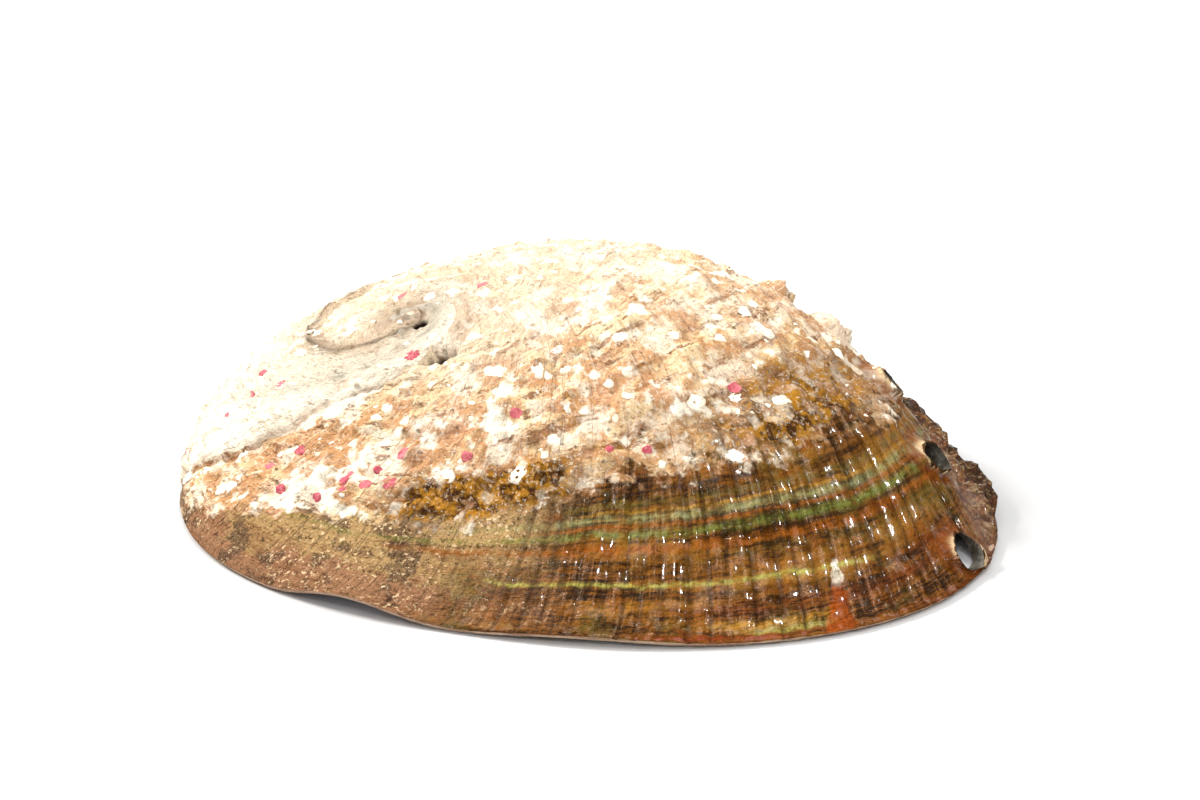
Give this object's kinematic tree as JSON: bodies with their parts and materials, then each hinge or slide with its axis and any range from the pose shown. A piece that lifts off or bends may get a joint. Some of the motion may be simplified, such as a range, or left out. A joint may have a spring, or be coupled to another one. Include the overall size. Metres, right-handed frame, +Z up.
{
  "type": "abalone shell",
  "caption": "Ear-shaped domed sea shell, one closed wall with a wide open underside, a low spire and a curved row of breathing holes, lying rim down.",
  "frame": {"origin": "middle of the shell's outline at the height of the surface it lies on", "axes": "+X towards the front end of the shell, where the holes are open, +Y towards the side with the row of holes, +Z up out of the dome"},
  "size_m": [0.1482, 0.1168, 0.0365],
  "materials": {
    "shell": "rough lime crust over the spire, glossy red-brown ribs at the lip, mother of pearl inside"
  },
  "bodies": {
    "root": {"shell": "shell"}
  },
  "joints": []
}
